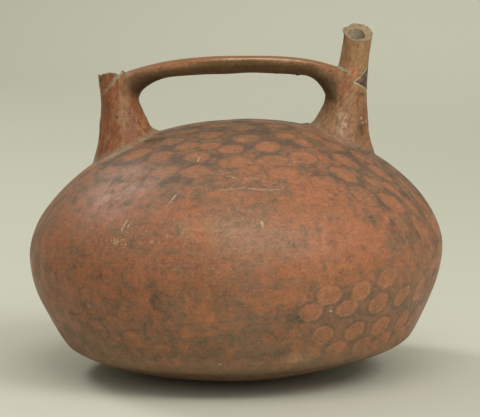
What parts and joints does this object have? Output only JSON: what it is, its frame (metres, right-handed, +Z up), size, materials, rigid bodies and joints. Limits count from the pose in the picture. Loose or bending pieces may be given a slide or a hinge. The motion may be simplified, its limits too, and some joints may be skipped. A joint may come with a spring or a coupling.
{
  "type": "bridge-handled vessel",
  "caption": "Squat, round-shouldered earthenware bottle with narrow spouts joined by an arched strap handle and broken at the rims; holds, carries and pours liquid.",
  "frame": {"origin": "level that the foot stands on, under the middle of the body's widest ring", "axes": "+Z up; +X from the broken spout to the pouring spout; -Y is the front that the picture shows"},
  "size_m": [0.1798, 0.18, 0.1516],
  "materials": {
    "burnished_clay": "burnished red-brown slip with darker resist-painted ground, worn to a satin sheen"
  },
  "bodies": {
    "root": {"vessel": "burnished_clay"}
  },
  "joints": []
}
